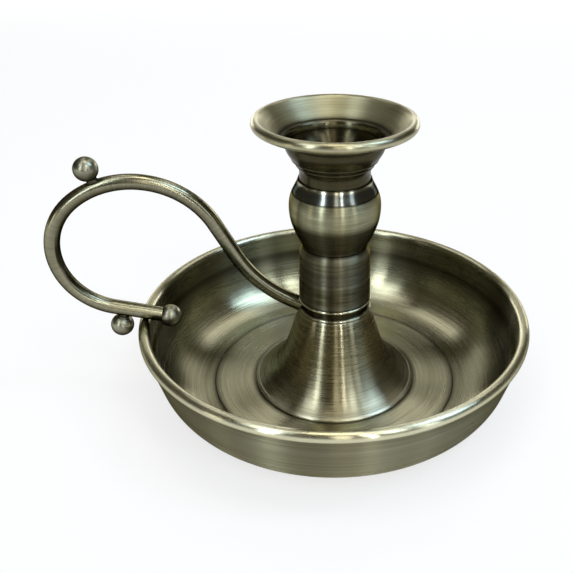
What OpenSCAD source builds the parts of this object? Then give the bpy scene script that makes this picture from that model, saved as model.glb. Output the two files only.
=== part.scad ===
// Chamberstick for a taper candle: a round drip pan with a rolled rim, a turned stem
// made of stacked spun shells, and a bent rod handle with three ball finials.
// The stem stands on the Z axis, the table is Z = 0 and the handle leaves along -X.
// One long screw holds the stem together, from the floor of the candle socket
// down to a nut under the pan. The flared cup is brazed on top of the socket tube.

/* [Drip pan] */
// Outside diameter of the pan over its rolled rim
pan_d = 140; // [130:0.5:150]
// Height of the pan, table to the top of the rim
pan_h = 30.3; // [26:0.1:34]
// Thickness of the pan's sheet
pan_wall = 1.0; // [0.8:0.05:1.2]
// Diameter of the rolled rim
rim_d = 3.8; // [3.2:0.1:4.6]
// Outside radius of the bend between floor and wall
pan_fillet = 17.4; // [12:0.1:20]
// Lean of the lower wall away from upright, in degrees
wall_lean = 15.6; // [6:0.2:20]
// Height where the wall turns upright
upright_h = 20.6; // [18:0.1:22]
// Radius of the ridge ring in the floor
ridge_r = 44.8; // [38:0.1:46]
// Height of the ridge ring above the floor
ridge_h = 0.5; // [0.2:0.05:0.9]
// Radius of the flat top of the raised centre boss
boss_r = 7.2; // [6.5:0.1:9]
// Clear height under the boss, for the washer and the nut
boss_h = 5.2; // [4.8:0.1:7]

/* [Trumpet foot] */
// Radius of the foot over its beaded edge
foot_r = 30; // [26:0.1:34]
// Radius of the foot at its top
foot_top_r = 13.1; // [12.6:0.1:14.5]
// Height of the foot's top above the table
foot_h = 31.5; // [28:0.1:36]
// Thickness of the foot's sheet
foot_wall = 0.8; // [0.6:0.05:1.0]
// Diameter of the beaded edge
bead_d = 1.0; // [0.8:0.05:1.2]

/* [Ring and column] */
// Radius of the ring between foot and column
ring_r = 13.1; // [12.9:0.1:14.5]
// Height of the ring
ring_h = 4.4; // [3.5:0.1:6]
// Rounding of the ring's two edges
ring_round = 0.7; // [0.3:0.05:1.2]
// Radius of the column sleeve at its foot
sleeve_r = 12.8; // [12.2:0.1:12.9]
// Radius of the column sleeve under its shoulder
sleeve_neck_r = 12.4; // [12:0.1:12.8]
// Height of the column sleeve
sleeve_h = 20.8; // [18:0.1:30]
// Radius of the sleeve's rounded shoulder
shoulder_r = 3.2; // [2:0.1:4.5]
// Thickness of the sleeve's sheet
sleeve_wall = 0.8; // [0.6:0.05:1.2]

/* [Urn] */
// Largest radius of the urn
urn_r = 15.65; // [14.8:0.05:17.5]
// Radius of the urn where it stands on the sleeve
urn_base_r = 11.3; // [10.8:0.05:11.8]
// Height of the urn's widest place above its base
urn_belly_h = 14.4; // [13.5:0.1:17]
// Height of the urn
urn_h = 24.3; // [23.5:0.1:30]
// Thickness of the urn's sheet
urn_wall = 0.8; // [0.6:0.05:0.9]

/* [Candle socket and cup] */
// Diameter of the candle socket, a clearance over a 22.2 mm taper
socket_d = 22.4; // [21:0.1:23.2]
// Thickness of the sheet of tube and cup
cup_wall = 0.7; // [0.5:0.05:0.9]
// Height of the socket tube, from its closed bottom to the flared cup
tube_h = 26; // [25:0.1:34]
// Height from the screw's head up to where the socket's straight wall starts
head_clear = 0.2; // [0.1:0.05:0.6]
// Radius inside the top of the bell over the socket
bell_r = 15.8; // [14.5:0.1:17]
// Height of the bell
bell_h = 8.8; // [7:0.1:12]
// Radius of the cup over its rolled lip
lip_r = 27.07; // [25:0.1:31]
// Diameter of the rolled lip
lip_d = 3.34; // [3:0.02:4]
// Slope of the drip flare under the lip, in degrees
flare_slope = 43.2; // [34:0.2:50]

/* [Handle] */
// Diameter of the handle rod
rod_d = 5.2; // [4.2:0.1:6]
// Slope of the rod where it crosses the rim, in degrees
rod_slope = 14.4; // [8:0.2:20]
// Length of rod inside the pan, from the rim to the end ball
rod_inside = 5.3; // [4.6:0.1:9]
// Radius of the outer bend
outer_bend = 22.9; // [20:0.1:26]
// Turn of the outer bend, in degrees
outer_turn = 128; // [122:0.5:134]
// Radius of the top bend
top_bend = 30.2; // [27:0.1:33]
// Turn of the top bend, in degrees
top_turn = 100; // [94:0.5:106]
// Radius of the last bend, down to the stem
stem_bend = 46.6; // [36:0.5:54]
// Turn of the last bend, in degrees
stem_turn = 32; // [24:0.5:38]
// Straight end of the rod at the stem
rod_tail = 4.3; // [3:0.1:6]
// Height where the rod's centre line meets the ring, above the ring's lower edge
rod_in_h = 1.6; // [1:0.1:3]

/* [Balls] */
// Diameter of the three ball finials
ball_d = 8.0; // [7:0.1:10]
// Diameter of the short neck under a ball that stands on the rod
neck_d = 3.4; // [2.6:0.1:4]
// Height of that neck between rod and ball
neck_h = 0.2; // [0.1:0.05:1]
// Distance along the rod from the rim to the ball under it
under_ball_out = 7.6; // [7:0.1:10]
// Turn of the top bend at which the thumb ball stands, in degrees
thumb_ball_turn = 18.4; // [10:0.2:30]

/* [Tie screw] */
// Diameter of the tie screw
screw_d = 5.0; // [4:0.1:5.2]
// Clearance of a hole around the screw, over the diameter
screw_play = 0.4; // [0.2:0.05:0.6]
// Diameter of the screw's head
head_d = 8.5; // [7.5:0.1:9.5]
// Height of the screw's head
head_h = 3.3; // [2.5:0.1:3.8]
// Width of the slot in the head
slot_w = 1.2; // [0.8:0.1:1.6]
// Depth of the slot in the head
slot_h = 1.5; // [1:0.1:2]
// Diameter of the two washers
washer_d = 10; // [9.6:0.1:11]
// Thickness of the two washers
washer_h = 1.0; // [0.8:0.1:1.2]
// Width across the flats of the nut
nut_w = 8; // [7.5:0.1:9]
// Height of the nut
nut_h = 2.7; // [2.2:0.1:2.9]
// Screw thread that shows below the nut
screw_past = 0.4; // [0.2:0.1:0.6]

/* [Hidden] */
$fn = 96;

// Widest step along a bend in an outline, in degrees
bend_step = 12;
// Points along a free curve in an outline, along a long one and along a short one
curve_points = 12;
long_curve_points = 16;
short_curve_points = 6;
// Sides of the round shapes that are wider or smaller than most
pan_sides = 160;
foot_sides = 128;
ball_sides = 64;
neck_sides = 32;
// Tiny overlap that joins two shapes of one piece
weld = 0.05;
// Clearance between shells that slide over each other
slide_fit = 0.1;

brass = [0.60, 0.53, 0.36];
steel = [0.62, 0.62, 0.60];

rim_r = rim_d/2;
pan_r = pan_d/2;
lip_tube_r = lip_d/2;
rod_r = rod_d/2;
ball_r = ball_d/2;
hole_r = (screw_d + screw_play)/2;

// Heights up the stem, each shell on the one below
ring_z = foot_h;
sleeve_z = ring_z + ring_h;
urn_z = sleeve_z + sleeve_h;
cup_z = urn_z + urn_wall;
socket_r = socket_d/2;
tube_r = socket_r + cup_wall;
bell_z = cup_z + tube_h;
boss_top = boss_h + pan_wall;
// The bend at the bottom of the socket takes up the screw's head and washer
socket_bend = cup_wall + washer_h + head_h + head_clear;

// Directions in the plane of an outline
function ahead(a) = [cos(a), sin(a)];
function leftward(a) = [-sin(a), cos(a)];

// A mark is a point and the heading there. Marks along a bend that starts at mark m
function bend(m, r, turn, widest) =
    let (s = sign(turn), c = m[0] + s*r*leftward(m[1]), n = max(2, ceil(abs(turn)/widest)))
    [for (i = [1 : n]) let (h = m[1] + turn*i/n) [c - s*r*leftward(h), h]];

// Marks along a line of steps, each a straight length and then a bend [length, radius, turn]
function marks(m, steps, widest = bend_step, i = 0) =
    i == len(steps) ? [m] :
    let (q = [m[0] + steps[i][0]*ahead(m[1]), m[1]],
         turned = steps[i][2] == 0 ? [] : bend(q, steps[i][1], steps[i][2], widest),
         way = concat(steps[i][0] > 0 ? [q] : [], turned))
    concat([m], [for (k = [0 : 1 : len(way) - 2]) way[k]],
           marks(way[len(way) - 1], steps, widest, i + 1));

// Points along the same line of steps, from p with heading h, and the last of them
function trail(p, h, steps) = [for (m = marks([p, h], steps)) m[0]];
function trail_end(p, h, steps) = let (t = trail(p, h, steps)) t[len(t) - 1];

// Points along a cubic curve through a and d that leaves towards b and arrives from c
function curve(a, b, c, d, n = curve_points) =
    [for (i = [0 : n])
        let (t = i/n, u = 1 - t)
        u*u*u*a + 3*u*u*t*b + 3*u*t*t*c + t*t*t*d];

// Direction of an outline at one of its points
function along(p, i) =
    let (d = p[min(i + 1, len(p) - 1)] - p[max(i - 1, 0)])
    d/norm(d);

// The other face of a sheet, t to the right of the outline
function other_face(p, t) = [for (i = [0 : len(p) - 1]) let (d = along(p, i)) p[i] + t*[d[1], -d[0]]];
function backwards(p) = [for (i = [len(p) - 1 : -1 : 0]) p[i]];
function sheet(p, t) = concat(p, backwards(other_face(p, t)));

// The same points, but flat at height z wherever they come down to it
function seated(p, z) = [for (q = p) [q[0], q[1] < z + weld ? z : q[1]]];

// Drip pan: its upper face from the centre hole to the rim
boss_lean = 68;
boss_bend = 2.2;
boss_slant = (boss_h - 2*boss_bend*(1 - cos(boss_lean)) + pan_wall*(1 - cos(boss_lean)))/sin(boss_lean);
floor_r = pan_r - rim_d + pan_wall - (upright_h - pan_fillet*(1 - sin(wall_lean)))*tan(wall_lean)
          - pan_fillet*cos(wall_lean);
lean_l = (upright_h - pan_fillet*(1 - sin(wall_lean)))/cos(wall_lean);
rim_z = pan_h - rim_r;
inner_fillet = pan_fillet - pan_wall;
upright_bend = 4;
bend_l = upright_bend*tan(wall_lean/2);
rim_sweep = 285;

// The ridge rises softly from the inner floor and drops sharply outside
ridge_soft_w = 3.4;
ridge_sharp_w = 0.4;
ridge_swell = 0.25;

module pan_section() {
    crown = trail([hole_r, boss_top], 0,
                  [[boss_r - hole_r, boss_bend, -boss_lean],
                   [boss_slant, boss_bend - pan_wall, boss_lean]]);
    dish = trail([floor_r, pan_wall], 0,
                 [[0, inner_fillet, 90 - wall_lean],
                  [lean_l - bend_l, upright_bend, wall_lean]]);
    roll = trail([pan_r - rim_d, rim_z], 90, [[0, rim_r, -rim_sweep]]);
    face = concat(seated(crown, pan_wall), dish, roll);
    polygon(concat(face, backwards(seated(other_face(face, pan_wall), 0))));
    polygon([[ridge_r - ridge_soft_w, pan_wall - weld],
             [ridge_r - ridge_soft_w, pan_wall],
             [ridge_r - ridge_soft_w/2, pan_wall + ridge_swell*ridge_h],
             [ridge_r, pan_wall + ridge_h],
             [ridge_r + ridge_sharp_w, pan_wall],
             [ridge_r + ridge_sharp_w, pan_wall - weld]]);
}

module drip_pan() {
    color(brass) rotate_extrude($fn = pan_sides) pan_section();
}

// Trumpet foot: its outer face from the top plate down to the bead
bead_r = bead_d/2;
foot_round = foot_wall + 0.2;
foot_rise = 24.3;
foot_top_turn = 80;
bead_step = 15;
bead_centre = [foot_r - bead_r, pan_wall + bead_r];
foot_end = bead_centre + foot_wall/2*leftward(-foot_rise);
// How far the flare runs on at its top, [out, up], and at its edge, before it curves away
foot_top_pull = [3.6, -10.3];
foot_edge_pull = 12.5;

function foot_face() =
    let (top = [foot_top_r, foot_h - foot_round])
    concat(trail([hole_r, foot_h], 0,
                 [[foot_top_r - foot_round - hole_r, foot_round, -foot_top_turn]]),
           curve(top, top + foot_top_pull, foot_end - foot_edge_pull*ahead(-foot_rise), foot_end,
                 long_curve_points));

module trumpet_foot() {
    color(brass) rotate_extrude($fn = foot_sides) {
        outer = foot_face();
        bead = [for (a = [90 - foot_rise : -bead_step : -90 - foot_rise]) bead_centre + bead_r*ahead(a)];
        polygon(concat(outer, bead, backwards(other_face(outer, foot_wall))));
    }
}

// Ring that the handle is brazed to, between foot and column
function ring_face() =
    concat(trail([ring_r - ring_round, ring_z], 0, [[0, ring_round, 90]]),
           trail([ring_r, ring_z + ring_h - ring_round], 90, [[0, ring_round, 90]]));

module joint_ring() {
    color(brass) rotate_extrude()
        polygon(concat([[hole_r, ring_z]], ring_face(), [[hole_r, ring_z + ring_h]]));
}

// Column sleeve: a drawn tube, slightly narrower upwards, with a rounded closed top
shoulder_turn = 62;
sleeve_lean = atan2(sleeve_r - sleeve_neck_r, sleeve_h - shoulder_r);

function sleeve_face() =
    concat([[hole_r, urn_z]],
           backwards(trail([sleeve_r, sleeve_z], 90 + sleeve_lean,
                           [[sleeve_h - shoulder_r*sin(shoulder_turn) - weld, shoulder_r,
                             shoulder_turn]])));

module column_sleeve() {
    color(brass) rotate_extrude() {
        outer = sleeve_face();
        inner = other_face(outer, sleeve_wall);
        polygon(concat(outer, backwards([for (p = inner) [p[0], max(p[1], sleeve_z)]])));
    }
}

// Urn: a bulb that widens from the sleeve and closes again on the socket tube
urn_top_r = tube_r + slide_fit + urn_wall/2;
// How far the urn's curve runs on, [out, up], at its base, below and above the belly, and at its top
urn_base_pull = [1.9, 4.2];
urn_below_pull = [0, -6.5];
urn_above_pull = [0, 4.9];
urn_top_pull = [0.9, -3];

function urn_face() =
    let (base = [urn_base_r, urn_z + urn_wall/2],
         belly = [urn_r, urn_z + urn_belly_h],
         top = [urn_top_r, urn_z + urn_h])
    concat([[hole_r, urn_z], [urn_base_r - urn_wall, urn_z]],
           curve(base, base + urn_base_pull, belly + urn_below_pull, belly),
           curve(belly, belly + urn_above_pull, top + urn_top_pull, top));

module urn_shell() {
    color(brass) rotate_extrude() {
        outer = urn_face();
        inner = other_face(outer, -urn_wall);
        // Above the belly the inside stays clear of the socket tube
        polygon(concat(outer, backwards([for (p = inner)
            [p[1] > urn_z + urn_belly_h ? max(p[0], tube_r + slide_fit) : max(p[0], hole_r),
             max(p[1], urn_z + urn_wall)]])));
    }
}

// Socket tube: a drawn cup, closed but for the screw's hole, that holds the candle
module socket_tube() {
    inner_bend = socket_bend - cup_wall;
    inner = trail([hole_r, cup_z + cup_wall], 0,
                  [[tube_r - socket_bend - hole_r, inner_bend, 90],
                   [bell_z - cup_z - socket_bend, 0, 0]]);
    color(brass) rotate_extrude() polygon(sheet(inner, cup_wall));
}

// Flared cup: bell, drip flare and rolled lip in one sheet, brazed on the tube's end
step_out = 2.2;
step_up = 3.1;
// How far the bell's curve runs on, [out, up], at its foot and at its top
bell_foot_pull = [0, 3];
bell_top_pull = [-0.8, -3.2];
// Where the step starts over the bell's top, and how far its curve runs on at each end
step_start = [0.1, 0.5];
step_foot_pull = [0.1, 2];
step_top_pull = [-1.5, 0];
flare_foot = [bell_r + step_out, bell_z + bell_h + step_up];
flare_top_r = lip_r - lip_tube_r - lip_tube_r*sin(flare_slope);
flare_top_z = flare_foot[1] + (flare_top_r - flare_foot[0])*tan(flare_slope);
lip_roll = 263;

module flared_cup() {
    bell_foot = [socket_r, bell_z];
    bell_top = [bell_r, bell_z + bell_h];
    bell = curve(bell_foot, bell_foot + bell_foot_pull, bell_top + bell_top_pull, bell_top);
    step = curve(bell_top + step_start, bell_top + step_start + step_foot_pull,
                 flare_foot + step_top_pull, flare_foot, short_curve_points);
    lip = trail([flare_top_r, flare_top_z], flare_slope, [[0, lip_tube_r, -lip_roll]]);
    face = concat(bell, step, lip);
    color(brass) rotate_extrude()
        polygon(concat(face, backwards(seated(other_face(face, cup_wall), bell_z))));
}

// Handle rod: a bent round rod in the XZ plane
// How far the rod is filed into the top of the rim
sink = 0.1;
out_heading = 180 - rod_slope;
top_heading = out_heading - outer_turn;
down_heading = top_heading - top_turn;
rim_centre = [rim_r - pan_r, rim_z];
on_rim = rim_centre - (rim_r + rod_r - sink)*leftward(out_heading);
rod_start = on_rim - rod_inside*ahead(out_heading);
rod_end = [-ring_r, ring_z + rod_in_h];

// The two straight lengths follow from where the rod has to start and end
bends_only = trail_end(trail_end(rod_start, out_heading, [[0, outer_bend, -outer_turn]]),
                       top_heading, [[0, top_bend, -top_turn]]);
tail_only = trail_end([0, 0], down_heading, [[0, stem_bend, stem_turn], [rod_tail, 0, 0]]);
rest = rod_end - bends_only - tail_only;
out_way = ahead(out_heading);
down_way = ahead(down_heading);
way_area = out_way[0]*down_way[1] - out_way[1]*down_way[0];
grip_l = (rest[0]*down_way[1] - rest[1]*down_way[0])/way_area;
drop_l = (out_way[0]*rest[1] - out_way[1]*rest[0])/way_area;
// Length of rod past the ring's face before it is filed to the stem
file_off = 4;
rod_steps = [[grip_l, outer_bend, -outer_turn],
             [0, top_bend, -top_turn],
             [drop_l, stem_bend, stem_turn],
             [rod_tail + file_off, 0, 0]];
rod_sides = 20;
rod_step = 6;

// Solid round rod along marks in the XZ plane
module whole_rod() {
    rings = marks([rod_start, out_heading], rod_steps, rod_step);
    n = rod_sides;
    last = len(rings) - 1;
    points = [for (m = rings) for (k = [0 : n - 1])
        let (c = m[0] + rod_r*cos(360*k/n)*leftward(m[1])) [c[0], rod_r*sin(360*k/n), c[1]]];
    sides = [for (i = [0 : last - 1]) for (k = [0 : n - 1])
        let (a = i*n + k, b = i*n + (k + 1)%n) each [[a, b, b + n], [a, b + n, a + n]]];
    caps = [[for (k = [n - 1 : -1 : 0]) k], [for (k = [0 : n - 1]) last*n + k]];
    polyhedron(points, concat(sides, caps));
}

// Places its children at a point of the handle's plane, with X along the heading
module in_handle_plane(p, heading) {
    translate([p[0], 0, p[1]]) rotate([90, 0, 0]) rotate([0, 0, heading]) children();
}

// The stem without its hollows, to which the rod's end is filed
module stem_body() {
    rotate_extrude($fn = foot_sides) {
        polygon(concat([[0, foot_h]], foot_face(), [[0, foot_end[1]]]));
        polygon(concat([[0, ring_z]], ring_face(), [[0, ring_z + ring_h]]));
        polygon(concat([[0, urn_z]], sleeve_face(), [[0, sleeve_z]]));
    }
}

// The rolled rim without its hollow, on which the rod lies
module rim_body() {
    rotate_extrude($fn = pan_sides) translate([pan_r - rim_r, rim_z]) circle(rim_r, $fn = neck_sides);
}

module handle_rod() {
    color(brass) difference() {
        whole_rod();
        stem_body();
        rim_body();
    }
}

// Ball on a short neck, p on the rod's centre line and the ball along the heading
module ball_on_rod(p, heading) {
    difference() {
        in_handle_plane(p, heading) {
            translate([rod_r + neck_h + ball_r, 0, 0]) sphere(ball_r, $fn = ball_sides);
            rotate([0, 90, 0]) cylinder(h = rod_r + neck_h + ball_r, d = neck_d, $fn = neck_sides);
        }
        whole_rod();
    }
}

module thumb_ball() {
    grip_end = trail_end(rod_start, out_heading, [[grip_l, outer_bend, -outer_turn]]);
    place = trail_end(grip_end, top_heading, [[0, top_bend, -thumb_ball_turn]]);
    color(brass) ball_on_rod(place, top_heading - thumb_ball_turn + 90);
}

module under_ball() {
    color(brass) ball_on_rod(on_rim + under_ball_out*ahead(out_heading), out_heading + 90);
}

// The end ball has a flat as wide as the rod, and the rod's end butts on it
module end_ball() {
    flat = sqrt(ball_r*ball_r - rod_r*rod_r);
    color(brass) in_handle_plane(rod_start, out_heading + 180) difference() {
        translate([flat, 0, 0]) sphere(ball_r, $fn = ball_sides);
        translate([-ball_d, -ball_d, -ball_d]) cube([ball_d, 2*ball_d, 2*ball_d]);
    }
}

// Tie screw and what clamps it
screw_top = cup_z + cup_wall + washer_h;
nut_z = boss_h - washer_h - nut_h;

module tie_screw() {
    color(steel) difference() {
        union() {
            translate([0, 0, nut_z - screw_past])
                cylinder(h = screw_top - nut_z + screw_past + weld, d = screw_d);
            translate([0, 0, screw_top]) cylinder(h = head_h, d = head_d);
        }
        translate([-head_d, -slot_w/2, screw_top + head_h - slot_h])
            cube([2*head_d, slot_w, slot_h + weld]);
    }
}

module washer(z) {
    translate([0, 0, z]) difference() {
        cylinder(h = washer_h, d = washer_d);
        translate([0, 0, -weld]) cylinder(h = washer_h + 2*weld, r = hole_r);
    }
}

module cup_washer() {
    color(steel) washer(cup_z + cup_wall);
}

module pan_washer() {
    color(steel) washer(boss_h - washer_h);
}

module tie_nut() {
    color(steel) translate([0, 0, nut_z]) difference() {
        cylinder(h = nut_h, r = nut_w/2/cos(30), $fn = 6);
        translate([0, 0, -weld]) cylinder(h = nut_h + 2*weld, d = screw_d);
    }
}

drip_pan();
trumpet_foot();
joint_ring();
column_sleeve();
urn_shell();
socket_tube();
flared_cup();
handle_rod();
thumb_ball();
under_ball();
end_ball();
tie_screw();
cup_washer();
pan_washer();
tie_nut();
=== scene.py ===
import math

import bmesh
import bpy
from mathutils import Matrix, Vector


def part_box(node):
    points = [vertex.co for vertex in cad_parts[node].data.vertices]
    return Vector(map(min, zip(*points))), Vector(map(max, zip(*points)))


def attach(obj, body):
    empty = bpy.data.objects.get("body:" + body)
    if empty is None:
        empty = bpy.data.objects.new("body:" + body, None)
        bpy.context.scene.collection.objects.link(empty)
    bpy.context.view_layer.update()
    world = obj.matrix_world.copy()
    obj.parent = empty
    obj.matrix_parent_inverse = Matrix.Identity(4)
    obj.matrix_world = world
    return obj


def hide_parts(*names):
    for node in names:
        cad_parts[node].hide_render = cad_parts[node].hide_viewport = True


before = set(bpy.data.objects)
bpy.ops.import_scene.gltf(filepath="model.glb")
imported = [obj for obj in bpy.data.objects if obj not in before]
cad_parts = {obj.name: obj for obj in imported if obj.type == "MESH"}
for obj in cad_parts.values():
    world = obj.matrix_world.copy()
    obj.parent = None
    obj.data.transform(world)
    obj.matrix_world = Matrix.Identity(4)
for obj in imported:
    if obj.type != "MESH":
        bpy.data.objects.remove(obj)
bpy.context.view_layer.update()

# Looks of a brass chamberstick with a drip pan, a turned stem and a looped rod handle.
# Lengths are millimetres and angles degrees, except where a name says otherwise.
MM = 0.001


def mm_box(node):
    """Lowest and highest corner of a CAD node, in millimetres."""
    low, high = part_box(node)
    return low / MM, high / MM


# Outlines are lists of (radius, height) points


def ahead(heading):
    return Vector((math.cos(math.radians(heading)), math.sin(math.radians(heading))))


def leftward(heading):
    return ahead(heading + 90)


def marks(point, heading, steps, widest=3.0):
    """(point, heading) pairs along steps, each a straight length and then a bend (length, radius, turn)."""
    found = [(Vector(point), heading)]
    for length, radius, turn in steps:
        if length > 0:
            found.append((found[-1][0] + length * ahead(heading), heading))
        if turn:
            side = math.copysign(1.0, turn)
            centre = found[-1][0] + side * radius * leftward(heading)
            count = max(2, math.ceil(abs(turn) / widest))
            for i in range(1, count + 1):
                at = heading + turn * i / count
                found.append((centre - side * radius * leftward(at), at))
            heading += turn
    return found


def trail(point, heading, steps, widest=3.0):
    return [p for p, _ in marks(point, heading, steps, widest)]


def curve(a, b, c, d, count=28):
    """Points of the cubic curve from a to d that leaves towards b and arrives from c."""
    a, b, c, d = (Vector(p) for p in (a, b, c, d))
    found = []
    for i in range(count + 1):
        t = i / count
        u = 1 - t
        found.append(u**3 * a + 3 * u * u * t * b + 3 * u * t * t * c + t**3 * d)
    return found


def clean(points, least=0.01):
    """The same points without repeats."""
    found = [Vector(points[0])]
    for p in points[1:]:
        if (Vector(p) - found[-1]).length > least:
            found.append(Vector(p))
    return found


def other_face(points, thickness):
    """The outline moved to its right by the sheet's thickness."""
    found = []
    for i, p in enumerate(points):
        d = (points[min(i + 1, len(points) - 1)] - points[max(i - 1, 0)]).normalized()
        found.append(p + thickness * Vector((d.y, -d.x)))
    return found


def grooved(points, heights, depth, half):
    """Cuts V grooves into an upright outline at the given heights."""
    found = []
    for p, q in zip(points, points[1:]):
        found.append(p)
        low, high = sorted((p.y, q.y))
        cuts = sorted((h for h in heights if low < h <= high), reverse=q.y < p.y)
        for h in cuts:
            r = p.x + (q.x - p.x) * (h - p.y) / (q.y - p.y)
            side = half if q.y > p.y else -half
            found += [Vector((r, h - side)), Vector((r - depth, h)), Vector((r, h + side))]
    found.append(points[-1])
    return found


def ramp(value, low, high):
    """0 below low, 1 above high and straight between."""
    return min(1.0, max(0.0, (value - low) / (high - low)))


# Meshes


def finish_mesh(name, bm, sharp_angle, materials):
    """Turns bm into a smooth-shaded piece on the one body of the part."""
    bmesh.ops.recalc_face_normals(bm, faces=bm.faces)
    mesh = bpy.data.meshes.new(name)
    bm.to_mesh(mesh)
    bm.free()
    for polygon in mesh.polygons:
        polygon.use_smooth = True
    mesh.set_sharp_from_angle(angle=math.radians(sharp_angle))
    for material in materials:
        mesh.materials.append(material)
    piece = bpy.data.objects.new(name, mesh)
    bpy.context.scene.collection.objects.link(piece)
    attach(piece, "root")
    return piece


def bends_near(outline, sign, reach, full):
    """For each point of a closed outline, from 0 to 1, how much it bends nearby: a turn of full degrees is 1.

    A sign of 1 counts hollow corners, and -1 counts edges and rolls that stand out.
    """
    count = len(outline)
    area = sum(outline[i - 1].x * outline[i].y - outline[i].x * outline[i - 1].y for i in range(count))
    turn = []
    for i, p in enumerate(outline):
        a = p - outline[i - 1]
        b = outline[(i + 1) % count] - p
        bend = math.degrees(a.angle_signed(b, 0.0)) * math.copysign(1, area)
        turn.append(max(0.0, sign * bend))
    found = []
    for i in range(count):
        total = -turn[i]
        for step in (1, -1):
            k, way = i, 0.0
            while way < 2.5 * reach:
                total += turn[k % count] * math.exp(-((way / reach) ** 2))
                way += (outline[(k + step) % count] - outline[k % count]).length
                k += step
        found.append(min(1.0, total / full))
    return found


def closer(outline, widest=1.2):
    """The same closed outline with points added, so that none are further apart than widest."""
    found = []
    for p, q in zip(outline, outline[1:] + outline[:1]):
        parts = math.ceil((q - p).length / widest)
        found += [p.lerp(q, k / parts) for k in range(parts)]
    return found


def lathe(name, outline, materials, turns=256, sharp_angle=38, added_shade_and_patina=None, face_count=0, polish=None):
    """Revolves a closed outline about Z. The mesh keeps how far along the outline each point is.

    The darkening function gives patina and painted shade, 0 to 1, at a point of the outline and whether that point is
    on the upper or inner face.
    polish gives in the same way how smooth the metal is: -1 is matt, 0 brushed and 1 polished.
    """
    outline = clean(outline)
    face_end = outline[face_count - 1] if face_count else None
    outline = closer(outline)
    faced = outline.index(face_end) if face_count else 0
    count = len(outline)
    bm = bmesh.new()
    run_layer = bm.verts.layers.float.new("run")
    patina_and_shade_layer = bm.verts.layers.float.new("patina_and_shade")
    worn_layer = bm.verts.layers.float.new("worn")
    polish_layer = bm.verts.layers.float.new("polish")
    # Hollow corners darken with patina and painted shade; edges and rolls that stand out are worn bright.
    patina_and_shade = bends_near(outline, 1, 1.1, 120)
    worn = bends_near(outline, -1, 0.8, 50)
    if added_shade_and_patina:
        patina_and_shade = [min(1.0, g + added_shade_and_patina(p, i <= faced)) for i, (g, p) in enumerate(zip(patina_and_shade, outline))]
    run, way = [], 0.0
    for i, p in enumerate(outline):
        way += (p - outline[i - 1]).length if i else 0.0
        run.append(way)
    rings = []
    for i, p in enumerate(outline):
        ring = []
        for k in range(turns):
            a = 2 * math.pi * k / turns
            v = bm.verts.new((p.x * MM * math.cos(a), p.x * MM * math.sin(a), p.y * MM))
            v[run_layer] = run[i]
            v[patina_and_shade_layer] = patina_and_shade[i]
            v[worn_layer] = worn[i]
            v[polish_layer] = polish(p, i <= faced) if polish else 0.0
            ring.append(v)
        rings.append(ring)
    for i in range(count):
        for k in range(turns):
            j, n = (i + 1) % count, (k + 1) % turns
            bm.faces.new((rings[i][k], rings[i][n], rings[j][n], rings[j][k]))
    return finish_mesh(name, bm, sharp_angle, materials)


def rod(name, path, radius, material, sides=40):
    """Round rod along (point, heading) pairs in the XZ plane, with a braze fillet round its far end.

    Painted shade makes it dark underneath, inside the loop and in the crease where the braze fillet starts.
    """
    bm = bmesh.new()
    run_layer = bm.verts.layers.float.new("run")
    patina_and_shade_layer = bm.verts.layers.float.new("patina_and_shade")
    worn_layer = bm.verts.layers.float.new("worn")
    whole = sum((q[0] - p[0]).length for p, q in zip(path, path[1:]))
    rings, way = [], 0.0
    for i, (p, heading) in enumerate(path):
        way += (p - path[i - 1][0]).length if i else 0.0
        out = leftward(heading)
        left = whole - way
        fillet = math.sin(math.pi * left / BRAZE_L) if left < BRAZE_L else 0.0
        thick = radius + BRAZE_H * fillet
        shade_at_crease = math.exp(-(((left - BRAZE_L) / 0.5) ** 2))
        ring = []
        for k in range(sides):
            a = 2 * math.pi * k / sides
            side = math.cos(a)
            v = bm.verts.new(((p.x + thick * side * out.x) * MM, thick * math.sin(a) * MM, (p.y + thick * side * out.y) * MM))
            v[run_layer] = way
            # Painted shade underneath, inside the loop and at the fillet's crease
            under = ramp(-side * out.y, -0.3, 0.4)
            inner = ramp(-side, 0.3, 0.8) * ramp(way, LOOP_FROM, LOOP_FROM + 12)
            v[patina_and_shade_layer] = max(0.9 * shade_at_crease, 0.9 * under, 0.9 * inner)
            v[worn_layer] = fillet
            ring.append(v)
        rings.append(ring)
    for lower, upper in zip(rings, rings[1:]):
        for k in range(sides):
            n = (k + 1) % sides
            bm.faces.new((lower[k], lower[n], upper[n], upper[k]))
    bm.faces.new(rings[0][::-1])
    bm.faces.new(rings[-1])
    return finish_mesh(name, bm, 45, [material])


LOOP_FROM = 22.0
BRAZE_L = 3.3
BRAZE_H = 0.75


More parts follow.
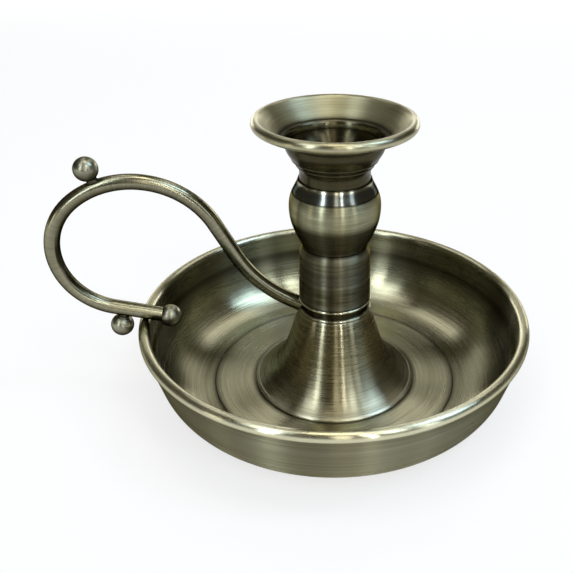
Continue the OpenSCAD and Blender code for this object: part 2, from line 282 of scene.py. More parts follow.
def turned_about(name, outline, centre, heading, material, dark_to, turns=64):
    """Revolves an open outline of (radius, distance) about a line in the XZ plane from centre along heading.

    Painted shade makes it dark up to the distance dark_to, and on the ball's lower side.
    """
    along = ahead(heading)
    axis = Vector((along.x, 0, along.y))
    side = Vector((0, 1, 0))
    third = axis.cross(side)
    origin = Vector((centre.x, 0, centre.y))
    middle = origin + (outline[0].y - BALL_R) * axis
    bm = bmesh.new()
    run_layer = bm.verts.layers.float.new("run")
    patina_and_shade_layer = bm.verts.layers.float.new("patina_and_shade")
    rings = []
    for i, p in enumerate(outline):
        ring = []
        for k in range(turns if p.x > 0.001 else 1):
            a = 2 * math.pi * k / turns
            at = origin + p.y * axis + p.x * (math.cos(a) * side + math.sin(a) * third)
            v = bm.verts.new(at * MM)
            v[run_layer] = p.y
            # Painted shade on the ball's lower side and where it meets the rod
            shade_below = ramp(-(at.z - middle.z) / BALL_R, -0.35, 0.4)
            v[patina_and_shade_layer] = max(1 - ramp(p.y, dark_to, dark_to + 1.5), 0.85 * shade_below)
            ring.append(v)
        rings.append(ring)
    for lower, upper in zip(rings, rings[1:]):
        for k in range(turns):
            n = (k + 1) % turns
            corners = [lower[k % len(lower)], lower[n % len(lower)], upper[n % len(upper)], upper[k % len(upper)]]
            bm.faces.new(list(dict.fromkeys(corners)))
    for end, ring in ((0, rings[0]), (1, rings[-1])):
        if len(ring) > 1:
            bm.faces.new(ring if end else ring[::-1])
    return finish_mesh(name, bm, 45, [material])


# Materials


class Nodes:
    """Short way to add and link shader nodes."""

    def __init__(self, material):
        material.use_nodes = True
        self.tree = material.node_tree
        self.tree.nodes.clear()

    def add(self, kind, inputs=None, **settings):
        node = self.tree.nodes.new(kind)
        for key, value in settings.items():
            setattr(node, key, value)
        for key, value in (inputs or {}).items():
            socket = node.inputs[key]
            if isinstance(value, bpy.types.NodeSocket):
                self.tree.links.new(value, socket)
            else:
                socket.default_value = value
        return node

    def math(self, operation, a, b=0.0, c=0.0, clamp=False):
        node = self.add("ShaderNodeMath", {0: a, 1: b, 2: c}, operation=operation, use_clamp=clamp)
        return node.outputs[0]

    def mix(self, factor, a, b, blend="MIX"):
        node = self.add("ShaderNodeMix", data_type="RGBA", blend_type=blend)
        for socket, value in ((node.inputs[0], factor), (node.inputs[6], a), (node.inputs[7], b)):
            if isinstance(value, bpy.types.NodeSocket):
                self.tree.links.new(value, socket)
            else:
                socket.default_value = value
        return node.outputs[2]

    def ramp(self, value, low, high, to_low=0.0, to_high=1.0):
        node = self.add("ShaderNodeMapRange", {0: value, 1: low, 2: high, 3: to_low, 4: to_high})
        return node.outputs[0]


QUARTER_TURN = 0.25
LINE_DEPTH = 0.00004
POLISHED = 0.09
# Near-black for patina and painted shade in hollows, seams and undersides
CREVICE_PATINA_AND_SHADE = (0.026, 0.020, 0.008, 1)
BURNISHED = (0.80, 0.77, 0.57, 1)
# Painted shade: the edge tint dims the metal where it is seen edge-on
EDGE_SHADE_TINT = (0.08, 0.07, 0.05, 1)


def brushed_brass(name, bright, dark, roughness, spread, line_bump, brush=1.0, anisotropic=0.95, turned=True, burnish=0.8, edge=1.0):
    """Antiqued brass with fine lines round the axis, uneven patina, and dark crevices and marked places, part patina
    and part painted shade.

    spread is how much the roughness varies from line to line, burnish how bright worn edges are, and edge how
    much the metal dims where it is seen edge-on.
    """
    material = bpy.data.materials.new(name)
    n = Nodes(material)
    place = n.add("ShaderNodeTexCoord").outputs["Object"]
    run = n.add("ShaderNodeAttribute", attribute_name="run", attribute_type="GEOMETRY").outputs["Fac"]
    patina_and_shade = n.add("ShaderNodeAttribute", attribute_name="patina_and_shade", attribute_type="GEOMETRY").outputs["Fac"]
    polish = n.add("ShaderNodeAttribute", attribute_name="polish", attribute_type="GEOMETRY").outputs["Fac"]
    worn = n.add("ShaderNodeAttribute", attribute_name="worn", attribute_type="GEOMETRY").outputs["Fac"]
    apart = n.add("ShaderNodeSeparateXYZ", {0: place})
    turn = n.math("ARCTAN2", apart.outputs[1], apart.outputs[0])
    east, north = n.math("COSINE", turn), n.math("SINE", turn)

    def lines(per_mm, along, detail):
        """Noise that changes quickly across the brush lines and slowly along them."""
        across = n.math("MULTIPLY", run, per_mm)
        vector = n.add(
            "ShaderNodeCombineXYZ", {0: across, 1: n.math("MULTIPLY", east, along), 2: n.math("MULTIPLY", north, along)}
        )
        noise = n.add(
            "ShaderNodeTexNoise", {"Vector": vector.outputs[0], "Scale": 1.0, "Detail": detail, "Roughness": 0.6}
        )
        return noise.outputs["Fac"]

    fine = lines(2.3 * brush, 1.3, 3.0)
    soft = lines(0.8 * brush, 0.7, 2.0)
    clouds = n.add(
        "ShaderNodeTexNoise", {"Vector": place, "Scale": 30.0, "Detail": 4.0, "Roughness": 0.5}
    ).outputs["Fac"]
    patina = n.math("ADD", n.ramp(soft, 0.3, 0.7, 0.0, 0.3), n.ramp(clouds, 0.3, 0.7, 0.0, 0.25))
    patina = n.math("ADD", patina, n.ramp(fine, 0.38, 0.62, 0.0, 0.4), clamp=True)
    colour = n.mix(patina, dark, bright)
    colour = n.mix(n.math("MULTIPLY", worn, burnish, clamp=True), colour, BURNISHED)
    # The marked places go towards near-black: patina and painted shade
    colour = n.mix(n.math("MULTIPLY", patina_and_shade, 0.92, clamp=True), colour, CREVICE_PATINA_AND_SHADE)
    uneven = n.math("ADD", n.math("MULTIPLY", n.ramp(fine, 0.3, 0.7), spread), roughness - spread / 2)
    uneven = n.math("SUBTRACT", uneven, n.math("MULTIPLY", polish, roughness - POLISHED), clamp=True)
    uneven = n.math("ADD", uneven, n.math("MULTIPLY", n.ramp(clouds, 0.35, 0.65), 0.05))
    uneven = n.math("ADD", uneven, n.math("MULTIPLY", patina_and_shade, 0.06), clamp=True)
    bump = n.add("ShaderNodeBump", {"Strength": line_bump, "Distance": LINE_DEPTH, "Height": fine})
    shader = n.add(
        "ShaderNodeBsdfPrincipled",
        {
            "Base Color": colour,
            "Metallic": 1.0,
            "Roughness": uneven,
            "Normal": bump.outputs[0],
            "Anisotropic": anisotropic if turned else 0.0,
            "Anisotropic Rotation": QUARTER_TURN,
            "Specular Tint": tuple(1 - edge * (1 - c) for c in EDGE_SHADE_TINT),
        },
    )
    if turned:
        tangent = n.add("ShaderNodeTangent", direction_type="RADIAL", axis="Z")
        n.tree.links.new(tangent.outputs[0], shader.inputs["Tangent"])
    output = n.add("ShaderNodeOutputMaterial")
    n.tree.links.new(shader.outputs[0], output.inputs[0])
    return material


def plated_steel():
    material = bpy.data.materials.new("plated_steel")
    n = Nodes(material)
    place = n.add("ShaderNodeTexCoord").outputs["Object"]
    spots = n.add("ShaderNodeTexNoise", {"Vector": place, "Scale": 400.0, "Detail": 4.0}).outputs["Fac"]
    colour = n.mix(n.ramp(spots, 0.3, 0.7), (0.36, 0.35, 0.32, 1), (0.55, 0.55, 0.52, 1))
    rough = n.ramp(spots, 0.3, 0.7, 0.3, 0.48)
    shader = n.add("ShaderNodeBsdfPrincipled", {"Base Color": colour, "Metallic": 1.0, "Roughness": rough})
    output = n.add("ShaderNodeOutputMaterial")
    n.tree.links.new(shader.outputs[0], output.inputs[0])
    return material


# Camera, at the photograph's place

EYE = Vector((-24.4, -232.2, 174.7))
YAW = 0.011 + math.radians(6)
PITCH = 0.526
ROLL = 0.009
FOCAL_PX = 750.3
AXIS_PX = 341.8
FRAME_PX = 573
SENSOR_MM = 36.0


def make_camera():
    forward = Vector((math.sin(YAW) * math.cos(PITCH), math.cos(YAW) * math.cos(PITCH), -math.sin(PITCH)))
    level = Vector((math.cos(YAW), -math.sin(YAW), 0))
    above = level.cross(forward)
    right = math.cos(ROLL) * level + math.sin(ROLL) * above
    up = math.cos(ROLL) * above - math.sin(ROLL) * level
    data = bpy.data.cameras.new("camera")
    data.sensor_width = SENSOR_MM
    data.lens = FOCAL_PX / FRAME_PX * SENSOR_MM
    data.shift_x = (FRAME_PX / 2 - AXIS_PX) / FRAME_PX
    data.clip_start = 0.01
    data.clip_end = 20
    camera = bpy.data.objects.new("camera", data)
    bpy.context.scene.collection.objects.link(camera)
    turn = Matrix((right, up, -forward)).transposed().to_4x4()
    camera.matrix_world = Matrix.Translation(EYE * MM) @ turn
    bpy.context.scene.camera = camera


make_camera()

BRASS_PAN = brushed_brass("antique_brass_pan", (0.72, 0.70, 0.50, 1), (0.40, 0.37, 0.22, 1), 0.21, 0.06, 0.2, anisotropic=1.0, burnish=0.45)
BRASS_STEM = brushed_brass("antique_brass_stem", (0.56, 0.52, 0.365, 1), (0.25, 0.22, 0.125, 1), 0.25, 0.05, 0.16, anisotropic=1.0)
BRASS_CUP = brushed_brass(
    "antique_brass_cup", (0.50, 0.48, 0.32, 1), (0.29, 0.265, 0.155, 1), 0.28, 0.06, 0.2, anisotropic=0.8, burnish=0.1, edge=0.3
)
BRASS_URN = brushed_brass(
    "antique_brass_urn", (0.45, 0.44, 0.285, 1), (0.16, 0.15, 0.08, 1), 0.31, 0.06, 0.2, anisotropic=0.95
)
BRASS_SHOULDER = brushed_brass(
    "antique_brass_shoulder", (0.30, 0.325, 0.31, 1), (0.19, 0.205, 0.19, 1), 0.12, 0.02, 0.05, turned=False
)
# The sleeve's darker copy of the brass is part patina and part painted shade
BRASS_SLEEVE_SHADED = brushed_brass(
    "antique_brass_sleeve_shaded", (0.24, 0.22, 0.14, 1), (0.05, 0.044, 0.022, 1), 0.42, 0.06, 0.2, anisotropic=1.0, burnish=0.3
)
BRASS_ROD = brushed_brass(
    "antique_brass_rod", (0.40, 0.385, 0.27, 1), (0.24, 0.225, 0.145, 1), 0.19, 0.04, 0.08, turned=False
)
BRASS_BALL = brushed_brass(
    "antique_brass_ball", (0.42, 0.415, 0.31, 1), (0.26, 0.25, 0.18, 1), 0.30, 0.04, 0.08, turned=False
)
STEEL = plated_steel()

# Drip pan
pan_low, pan_high = mm_box("drip_pan")
PAN_R = pan_high.x
PAN_H = pan_high.z
PAN_WALL = 1.0
RIM_R = 1.9
FILLET = 17.4
LEAN = 15.6
UPRIGHT_H = 20.6
HOLE_R = 2.7
BOSS_R = 7.2
BOSS_H = 5.2
RIDGE_R = 44.8
RIDGE_H = 0.5
RIM_SWEEP = 285
rim_z = PAN_H - RIM_R
FOOT_EDGE_R = mm_box("trumpet_foot")[1].x


def pan_face():
    rise = UPRIGHT_H - FILLET * (1 - math.sin(math.radians(LEAN)))
    lean_l = rise / math.cos(math.radians(LEAN))
    floor_r = (
        PAN_R - 2 * RIM_R + PAN_WALL - rise * math.tan(math.radians(LEAN)) - FILLET * math.cos(math.radians(LEAN))
    )
    boss = curve((BOSS_R, BOSS_H + PAN_WALL), (BOSS_R + 2.4, BOSS_H + PAN_WALL), (BOSS_R + 1.2, PAN_WALL),
                 (BOSS_R + 4.6, PAN_WALL), 16)
    ridge = [
        Vector((RIDGE_R - 6.0, PAN_WALL)),
        Vector((RIDGE_R - 4.4, PAN_WALL + 0.03)),
        Vector((RIDGE_R - 2.8, PAN_WALL + 0.12)),
        Vector((RIDGE_R - 1.2, PAN_WALL + 0.30)),
        Vector((RIDGE_R - 0.15, PAN_WALL + RIDGE_H)),
        Vector((RIDGE_R + 0.2, PAN_WALL + RIDGE_H - 0.04)),
        Vector((RIDGE_R + 0.55, PAN_WALL + 0.02)),
        Vector((RIDGE_R + 1.0, PAN_WALL)),
    ]
    bend_l = 4 * math.tan(math.radians(LEAN / 2))
    dish = trail((floor_r, PAN_WALL), 0, [(0, FILLET - PAN_WALL, 90 - LEAN), (lean_l - bend_l, 4, LEAN)], 2.0)
    roll = trail((PAN_R - 2 * RIM_R, rim_z), 90, [(0, RIM_R, -RIM_SWEEP)], 6.0)
    return [Vector((HOLE_R, BOSS_H + PAN_WALL))] + boss + ridge + dish + roll


def pan_outline():
    top = clean(pan_face())
    under = other_face([p if p.x < RIDGE_R - 7 or p.x > RIDGE_R + 2 else Vector((p.x, PAN_WALL)) for p in top], PAN_WALL)
    return top + [Vector((p.x, max(p.y, 0.0))) for p in under[::-1]]


def pan_shade_and_patina(point, upper):
    """Darker outside, part patina and part painted shade, and painted shade inside in the recess under the roll, round
    the foot and along the ridge. The roll itself is worn bright.
    """
    # Outside darker: part patina, part painted shade
    if not upper:
        return 0.62 if point.y < rim_z - RIM_R else 0.0
    roll = ramp(point.x, PAN_R - 2 * RIM_R - 0.2, PAN_R - 2 * RIM_R + 0.5)
    # Painted shade on the wall under the roll
    shade_below_roll = 0.35 * ramp(point.y, 7, 12) + 0.65 * ramp(point.y, 12, 19)
    # Painted shade on the floor round the foot
    shade_round_foot = 0.9 * (1 - ramp(point.x, FOOT_EDGE_R + 0.2, FOOT_EDGE_R + 1.6))
    # Painted shade along the ridge
    ridge = 0.5 * math.exp(-(((point.x - RIDGE_R + 0.4) / 1.1) ** 2))
    return max(shade_below_roll * (1 - roll), shade_round_foot, ridge)


def pan_polish(point, upper):
    """The outer wall is coarser than the dish and the roll."""
    return 0.0 if upper or point.y > rim_z - RIM_R else -1.5


pan = lathe(
    "pan_spun", pan_outline(), [BRASS_PAN], turns=320, added_shade_and_patina=pan_shade_and_patina, face_count=len(clean(pan_face())),
    polish=pan_polish,
)
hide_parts("drip_pan")

# Trumpet foot
foot_low, foot_high = mm_box("trumpet_foot")
FOOT_R = foot_high.x
FOOT_H = foot_high.z
FOOT_TOP_R = 13.1
FOOT_WALL = 0.8
FOOT_RISE = 24.3
BEAD_R = 0.5


def foot_outline():
    bead = Vector((FOOT_R - BEAD_R, PAN_WALL + BEAD_R))
    end = bead + FOOT_WALL / 2 * leftward(-FOOT_RISE)
    corner = FOOT_WALL + 0.2
    top = trail((HOLE_R, FOOT_H), 0, [(FOOT_TOP_R - corner - HOLE_R, corner, -80)], 10)
    flare = curve(
        (FOOT_TOP_R, FOOT_H - corner),
        (FOOT_TOP_R + 3.6, FOOT_H - 11.3),
        end - 12.5 * ahead(-FOOT_RISE),
        end - 1.1 * ahead(-FOOT_RISE),
        60,
    )
    # A fine step sets the bead off from the flare
    step = [end - 0.9 * ahead(-FOOT_RISE) + 0.16 * leftward(-FOOT_RISE), end - 0.2 * ahead(-FOOT_RISE)
            + 0.14 * leftward(-FOOT_RISE)]
    face = clean(top + flare)
    inner = other_face(face, FOOT_WALL)
    edge = [bead + BEAD_R * ahead(a) for a in range(66, -115, -12)]
    return face + step + edge + inner[::-1]


def foot_painted_shade(point, upper):
    # Painted shade where the ring sits on the top of the foot
    return 0.9 * ramp(point.y, FOOT_H - 0.7, FOOT_H - 0.2)


foot = lathe("foot_trumpet", foot_outline(), [BRASS_STEM], added_shade_and_patina=foot_painted_shade)
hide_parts("trumpet_foot")

# Ring with two bright beads and a band between them darkened with painted shade
ring_low, ring_high = mm_box("joint_ring")
RING_R = ring_high.x
RING_BEAD = 0.42
BAND_IN = 0.7


def ring_outline():
    low, high = ring_low.z, ring_high.z
    lower = trail((RING_R - RING_BEAD, low), 0, [(0.02, RING_BEAD, 165)], 12)
    upper = [Vector((p.x, low + high - p.y)) for p in lower[::-1]]
    band = [Vector((RING_R - RING_BEAD - BAND_IN, low + 2 * RING_BEAD + 0.15)),
            Vector((RING_R - RING_BEAD - BAND_IN, high - 2 * RING_BEAD - 0.15))]
    return [Vector((HOLE_R, low))] + lower + band + upper + [Vector((HOLE_R, high))]


def ring_painted_shade(point, upper):
    """Painted shade: black in the band between the beads."""
    return 0.9 * ramp(ring_high.x - point.x, 0.35, 0.6)


ring = lathe("ring_turned", ring_outline(), [BRASS_STEM], added_shade_and_patina=ring_painted_shade)
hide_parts("joint_ring")

# Column sleeve with fine turned grooves
sleeve_low, sleeve_high = mm_box("column_sleeve")
SLEEVE_R = 12.8
SLEEVE_NECK_R = 12.4
SHOULDER_R = 3.2
SHOULDER_TURN = 62
SLEEVE_WALL = 0.8
GROOVES_UP = (1.3, 9.9, 11.4, 13.2, 14.5)


def sleeve_outline():
    low, high = sleeve_low.z, sleeve_high.z
    lean = math.degrees(math.atan2(SLEEVE_R - SLEEVE_NECK_R, high - low - SHOULDER_R))
    tall = high - low - SHOULDER_R * math.sin(math.radians(SHOULDER_TURN)) - 0.05
    face = trail((SLEEVE_R, low), 90 + lean, [(tall, SHOULDER_R, SHOULDER_TURN)])
    up = face + [Vector((HOLE_R, high))]
    inner = other_face(up[::-1], SLEEVE_WALL)
    return grooved(up, [low + g for g in GROOVES_UP], 0.09, 0.14)[::-1] + [
        Vector((p.x, max(p.y, low))) for p in inner[::-1]
    ]


def sleeve_painted_shade(point, upper):
    """Painted shade: black where the sleeve stands on the ring and under the urn."""
    from_end = min(point.y - sleeve_low.z, sleeve_high.z - point.y)
    return 1.0 - ramp(from_end, 0.2, 0.9)


sleeve = lathe("sleeve_turned", sleeve_outline(), [BRASS_SLEEVE_SHADED], added_shade_and_patina=sleeve_painted_shade)
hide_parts("column_sleeve")

# Urn
urn_low, urn_high = mm_box("urn_shell")
URN_R = urn_high.x
URN_WALL = 0.8
SHOULDER_H = 4.4
URN_BASE_R = 11.3
BELLY_H = 14.4
TUBE_R = 11.9
SLIDE_FIT = 0.1


def urn_outline():
    low, high = urn_low.z, urn_high.z
    top_r = TUBE_R + SLIDE_FIT + URN_WALL / 2
    face = [Vector((HOLE_R, low)), Vector((URN_BASE_R - URN_WALL, low))]
    face += curve((URN_BASE_R, low + URN_WALL / 2), (URN_BASE_R + 1.9, low + 4.6),
                  (URN_R, low + 0.55 * BELLY_H), (URN_R, low + BELLY_H), 48)
    face += curve((URN_R, low + BELLY_H), (URN_R, low + BELLY_H + 4.9), (top_r + 0.9, high - 3), (top_r, high), 36)
    face = clean(face)
    inner = []
    for p in other_face(face, -URN_WALL):
        least = TUBE_R + SLIDE_FIT if p.y > low + BELLY_H else HOLE_R
        inner.append(Vector((max(p.x, least), max(p.y, low + URN_WALL))))
    return face + inner[::-1]


def urn_painted_shade(point, upper):
    """Painted shade: black in the seams, in the line under the smooth shoulder and at the foot, and darker below the
    belly.
    """
    shade_in_seams = max(1 - ramp(point.y, urn_low.z + 0.3, urn_low.z + 1.2), ramp(point.y, urn_high.z - 0.5, urn_high.z - 0.1))
    shade_in_seams = max(shade_in_seams, 0.9 * math.exp(-(((point.y - urn_high.z + SHOULDER_H) / 0.3) ** 2)))
    shade_below = 0.95 * (1 - ramp(point.y, urn_low.z + 9.5, urn_low.z + 12.5))
    return max(0.9 * shade_in_seams, shade_below)


urn = lathe("urn_spun", urn_outline(), [BRASS_URN, BRASS_SHOULDER], added_shade_and_patina=urn_painted_shade)
for polygon in urn.data.polygons:
    if polygon.center.z > (urn_high.z - SHOULDER_H) * MM:
        polygon.material_index = 1
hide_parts("urn_shell")

# Candle cup
cup_z = mm_box("socket_tube")[0].z
LIP_R = mm_box("flared_cup")[1].x
LIP_TOP = mm_box("flared_cup")[1].z
SOCKET_R = 11.2
CUP_WALL = 0.7
TUBE_H = 26
SOCKET_BEND = 5.2
BELL_R = 15.8
BELL_H = 8.8
STEP_OUT = 2.2
STEP_UP = 3.1
LIP_TUBE_R = 1.67
FLARE = 43.2
LIP_ROLL = 263
CREASES_UP = (29.0, 30.9)
CREASE_DEPTH = 0.22
CREASE_HALF = 0.35


def cup_face():
    bell_z = cup_z + TUBE_H
    top = bell_z + BELL_H
    tube = trail((HOLE_R, cup_z + CUP_WALL), 0,
                 [(TUBE_R - SOCKET_BEND - HOLE_R, SOCKET_BEND - CUP_WALL, 90)], 6)
    bell = curve((SOCKET_R, bell_z), (SOCKET_R, bell_z + 0.34 * BELL_H), (BELL_R - 0.8, bell_z + 0.64 * BELL_H),
                 (BELL_R, top), 36)
    step = curve((BELL_R + 0.1, top + 0.5), (BELL_R + 0.2, top + 0.8 * STEP_UP),
                 (BELL_R + 0.3 * STEP_OUT, top + STEP_UP), (BELL_R + STEP_OUT, top + STEP_UP), 14)
    flare_r = LIP_R - LIP_TUBE_R - LIP_TUBE_R * math.sin(math.radians(FLARE))
    flare_z = step[-1].y + (flare_r - step[-1].x) * math.tan(math.radians(FLARE))
    lip = trail((flare_r, flare_z), FLARE, [(0, LIP_TUBE_R, -LIP_ROLL)], 8)
    return clean([Vector((p.x, min(p.y, LIP_TOP))) for p in tube + bell + step + lip])


def cup_outline():
    """The sheet, with two fine creases turned round the outside of the bell."""
    face = cup_face()
    outside = other_face(face, CUP_WALL)
    return face + grooved(outside, [cup_z + up for up in CREASES_UP], CREASE_DEPTH, CREASE_HALF)[::-1]


def cup_painted_shade(point, upper):
    """Painted shade: dark in the bore and in the hollow round its bead, and a dark bell under the lip."""
    bell_top = cup_z + TUBE_H + BELL_H
    if upper:
        up = point.y - bell_top
        return max(1.0 - ramp(up, 0.5, 0.9), 0.8 * ramp(up, 1.3, 1.8) * (1 - ramp(up, STEP_UP - 0.1, STEP_UP + 0.8)))
    return (1 - ramp(point.y, bell_top + STEP_UP, bell_top + STEP_UP + 2))


def cup_polish(point, upper):
    """The flare is matt between the bore's mouth and the roll, and the bell below is smoother."""
    flare_z = cup_z + TUBE_H + BELL_H + STEP_UP
    matt = 0.9 * ramp(point.y, flare_z, flare_z + 0.6) * (1 - ramp(point.x, LIP_R - 3.6, LIP_R - 2.4))
    return 0.5 * (1 - ramp(point.y, flare_z - 1, flare_z)) - matt


cup = lathe(
    "cup_spun", cup_outline(), [BRASS_CUP], added_shade_and_patina=cup_painted_shade, face_count=len(cup_face()), polish=cup_polish
)
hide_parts("socket_tube", "flared_cup")

# Handle rod: two straights follow from where the rod starts and ends, as in the construction
ROD_R = 2.6
SLOPE = 14.4
ROD_INSIDE = 5.3
OUTER_BEND, OUTER_TURN = 22.9, 128
TOP_BEND, TOP_TURN = 30.2, 100
STEM_BEND, STEM_TURN = 46.6, 32
ROD_TAIL = 4.3
ROD_IN_H = 1.6
SINK = 0.1
BALL_R = 4.0
NECK_H = 0.2
UNDER_BALL_OUT = 7.6
THUMB_BALL_TURN = 18.4

out_heading = 180 - SLOPE
top_heading = out_heading - OUTER_TURN
down_heading = top_heading - TOP_TURN
in_heading = down_heading + STEM_TURN
on_rim = Vector((RIM_R - PAN_R, rim_z)) - (RIM_R + ROD_R - SINK) * leftward(out_heading)
rod_start = on_rim - ROD_INSIDE * ahead(out_heading)
rod_end = Vector((-RING_R, ring_low.z + ROD_IN_H))
bends_only = trail(rod_start, out_heading, [(0, OUTER_BEND, -OUTER_TURN), (0, TOP_BEND, -TOP_TURN)])[-1]
tail_only = trail((0, 0), down_heading, [(0, STEM_BEND, STEM_TURN), (ROD_TAIL, 0, 0)])[-1]
left_over = rod_end - bends_only - tail_only
out_way, down_way = ahead(out_heading), ahead(down_heading)
way_area = out_way.cross(down_way)
grip_l = left_over.cross(down_way) / way_area
drop_l = out_way.cross(left_over) / way_area
rod_path = marks(
    rod_start,
    out_heading,
    [(grip_l, OUTER_BEND, -OUTER_TURN), (0, TOP_BEND, -TOP_TURN), (drop_l, STEM_BEND, STEM_TURN), (ROD_TAIL + 0.6, 0, 0)],
    1.0,
)
handle = rod("handle_bent", rod_path, ROD_R, BRASS_ROD)
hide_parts("handle_rod")


def ball_outline(reach):
    """Ball with a soft waist where it meets the rod, from the far pole to the rod's middle."""
    points = [Vector((BALL_R * math.sin(math.radians(a)), reach + BALL_R * math.cos(math.radians(a)))) for a in range(0, 153, 4)]
    points[0] = Vector((0, reach + BALL_R))
    neck = [Vector((1.75, reach - BALL_R + 0.25)), Vector((1.75, reach - BALL_R)), Vector((2.1, ROD_R - 0.35)), Vector((1.2, 1.2))]
    return points + neck


reach = ROD_R + NECK_H + BALL_R
thumb_place = trail(
    rod_start, out_heading, [(grip_l, OUTER_BEND, -OUTER_TURN), (0, TOP_BEND, -THUMB_BALL_TURN)]
)[-1]
thumb = turned_about(
    "thumb_finial", ball_outline(reach), thumb_place, top_heading - THUMB_BALL_TURN + 90, BRASS_BALL, ROD_R + NECK_H
)
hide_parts("thumb_ball")
under = turned_about(
    "under_finial", ball_outline(reach), on_rim + UNDER_BALL_OUT * ahead(out_heading), out_heading + 90, BRASS_BALL, ROD_R + NECK_H
)
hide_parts("under_ball")
flat = math.sqrt(BALL_R**2 - ROD_R**2)
flat_turn = int(math.degrees(math.acos(-flat / BALL_R)))
end_outline = [
    Vector((BALL_R * math.sin(math.radians(a)), flat + BALL_R * math.cos(math.radians(a)))) for a in range(0, flat_turn, 4)
]
end_outline[0] = Vector((0, flat + BALL_R))
end_outline.append(Vector((ROD_R, 0)))
end = turned_about("end_finial", end_outline, rod_start, out_heading + 180, BRASS_BALL, 0)
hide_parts("end_ball")

for node in ("tie_screw", "cup_washer", "pan_washer", "tie_nut"):
    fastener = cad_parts[node]
    fastener.data.materials.clear()
    fastener.data.materials.append(STEEL)


# Stage: a pale floor, a pale world and soft lamps


def stage_material(name, colour, glow):
    """Pale ground that keeps the shadow. glow is the share of its own even brightness in what shows."""
    material = bpy.data.materials.new(name)
    n = Nodes(material)
    path = n.add("ShaderNodeLightPath")
    seen = n.math("MAXIMUM", path.outputs["Is Camera Ray"], path.outputs["Is Glossy Ray"])
    seen = n.math("MAXIMUM", seen, path.outputs["Is Transmission Ray"])
    diffuse = n.add("ShaderNodeBsdfDiffuse", {"Color": colour})
    glowing = n.add("ShaderNodeEmission", {"Color": (1, 1, 1, 1), "Strength": 1.0})
    mixed = n.add("ShaderNodeMixShader", {0: n.math("MULTIPLY", seen, glow), 1: diffuse.outputs[0], 2: glowing.outputs[0]})
    output = n.add("ShaderNodeOutputMaterial")
    n.tree.links.new(mixed.outputs[0], output.inputs[0])
    return material


FLOOR_GLOW = 0.7


def make_floor():
    bm = bmesh.new()
    half = 4.0
    bm.faces.new([bm.verts.new((x * half, y * half, 0)) for x, y in ((-1, -1), (1, -1), (1, 1), (-1, 1))])
    mesh = bpy.data.meshes.new("floor")
    bm.to_mesh(mesh)
    bm.free()
    mesh.materials.append(stage_material("floor_paint", (0.93, 0.93, 0.93, 1), FLOOR_GLOW))
    floor = bpy.data.objects.new("floor", mesh)
    bpy.context.scene.collection.objects.link(floor)


def make_world():
    world = bpy.data.worlds.new("world")
    world.use_nodes = True
    bpy.context.scene.world = world
    nodes, links = world.node_tree.nodes, world.node_tree.links
    nodes.clear()
    path = nodes.new("ShaderNodeLightPath")
    first = nodes.new("ShaderNodeMath")
    first.operation = "MAXIMUM"
    second = nodes.new("ShaderNodeMath")
    second.operation = "MAXIMUM"
    links.new(path.outputs["Is Camera Ray"], first.inputs[0])
    links.new(path.outputs["Is Glossy Ray"], first.inputs[1])
    links.new(first.outputs[0], second.inputs[0])
    links.new(path.outputs["Is Transmission Ray"], second.inputs[1])
    strength = nodes.new("ShaderNodeMapRange")
    strength.inputs[3].default_value = 0.2
    strength.inputs[4].default_value = 1.0
    links.new(second.outputs[0], strength.inputs[0])
    background = nodes.new("ShaderNodeBackground")
    background.inputs[0].default_value = (1, 1, 1, 1)
    links.new(strength.outputs[0], background.inputs[1])
    output = nodes.new("ShaderNodeOutputWorld")
    links.new(background.outputs[0], output.inputs[0])


def face_to(obj, place, target=Vector((0, 0, 0.05))):
    obj.location = place
    obj.rotation_mode = "QUATERNION"
    obj.rotation_quaternion = (target - place).to_track_quat("-Z", "Y")


def around(azimuth, elevation, distance):
    """A place seen from the stem: azimuth 0 is towards the camera, positive to its right."""
    a = math.radians(azimuth) - YAW
    e = math.radians(elevation)
    return distance * Vector((math.sin(a) * math.cos(e), -math.cos(a) * math.cos(e), math.sin(e)))


LAMP_DISTANCE = 1.3


def lamp(name, azimuth, elevation, wide, tall, bright, colour=(1, 1, 1)):
    """A soft box that spans wide by tall degrees as seen from the stem. A bright of 1 looks as a white wall does."""
    data = bpy.data.lights.new(name, "AREA")
    data.shape = "RECTANGLE"
    data.size = 2 * LAMP_DISTANCE * math.tan(math.radians(wide / 2))
    data.size_y = 2 * LAMP_DISTANCE * math.tan(math.radians(tall / 2))
    data.energy = bright * math.pi * data.size * data.size_y
    data.color = colour
    obj = bpy.data.objects.new(name, data)
    bpy.context.scene.collection.objects.link(obj)
    face_to(obj, around(azimuth, elevation, LAMP_DISTANCE))
    obj.visible_camera = False


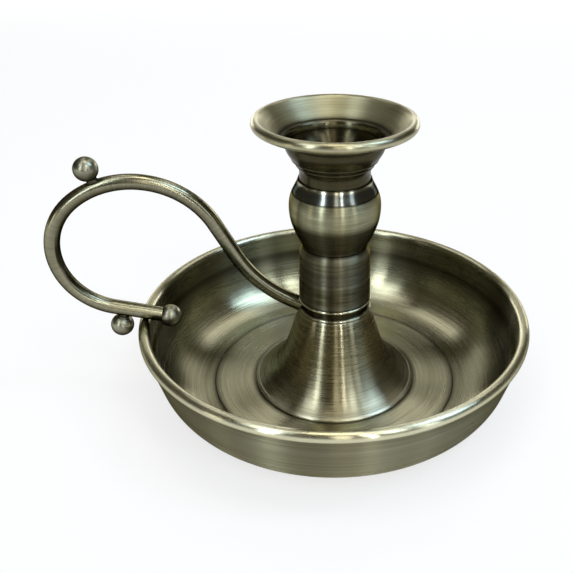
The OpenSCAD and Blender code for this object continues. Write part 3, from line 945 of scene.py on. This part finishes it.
def dark_card(name, azimuth, elevation, distance, wide, tall, shade):
    """A dark card outside the picture, which the metal shows as a dark band."""
    bm = bmesh.new()
    x, y = wide / 2, tall / 2
    bm.faces.new([bm.verts.new((a * x, b * y, 0)) for a, b in ((-1, -1), (1, -1), (1, 1), (-1, 1))])
    mesh = bpy.data.meshes.new(name)
    bm.to_mesh(mesh)
    bm.free()
    material = bpy.data.materials.new(name)
    n = Nodes(material)
    shader = n.add("ShaderNodeEmission", {"Color": (*shade, 1), "Strength": 1.0})
    output = n.add("ShaderNodeOutputMaterial")
    n.tree.links.new(shader.outputs[0], output.inputs[0])
    mesh.materials.append(material)
    obj = bpy.data.objects.new(name, mesh)
    bpy.context.scene.collection.objects.link(obj)
    face_to(obj, around(azimuth, elevation, distance))
    obj.visible_camera = False
    obj.visible_diffuse = False
    obj.visible_shadow = False


make_floor()
make_world()
# Strips whose reflections run down the stem, from left to right
COOL = (0.84, 0.93, 1.0)
COOLER = (0.54, 0.74, 1.0)
WARM = (1.0, 0.95, 0.82)
lamp("strip_left", -33, 26, 7, 42, 7.0, COOL)
lamp("left_high", -47, 55, 15, 26, 3.3, COOL)
lamp("strip_front", 5, 34, 8, 50, 1.8, WARM)
lamp("strip_thin", 20, 30, 3, 56, 9.0)
lamp("strip_right_high", 37, 48, 9, 24, 5.6, COOL)
lamp("strip_right", 50, 24, 9, 40, 2.2, COOL)
lamp("right_high", 84, 54, 18, 24, 5.8, COOLER)
# Soft boxes low down, behind and overhead, for the pan and the flare
lamp("low_left", -60, 5, 10, 10, 2.8, WARM)
lamp("low_back_left", -152, 9, 26, 14, 4.0)
lamp("low_back_right", 150, 9, 28, 14, 4.0)
lamp("back_low", 180, 18, 26, 14, 2.8)
lamp("back_mid", -174, 33, 66, 12, 0.5)
lamp("back_right_high", 150, 53, 18, 20, 1.6)
lamp("back_left_high", -150, 55, 18, 16, 1.5)
lamp("zenith", 180, 88, 14, 18, 4.8, WARM)
lamp("top_left", -90, 73, 13, 18, 2.0)
lamp("top_front_right", 45, 73, 13, 18, 1.2, WARM)
lamp("top_right", 90, 73, 13, 18, 2.4, COOL)
# Dark cards, seen in the metal wherever no lamp is
DARK = (0.060, 0.054, 0.036)
for azimuth in range(-165, 180, 30):
    dark_card("card_low_%d" % (azimuth + 180), azimuth, 20, 1.9, 1.1, 1.3, DARK)
    dark_card("card_high_%d" % (azimuth + 180), azimuth, 58, 1.9, 1.1, 1.3, DARK)
dark_card("card_top", 0, 90, 1.9, 1.2, 1.2, DARK)

bpy.context.scene.view_settings.view_transform = "Standard"
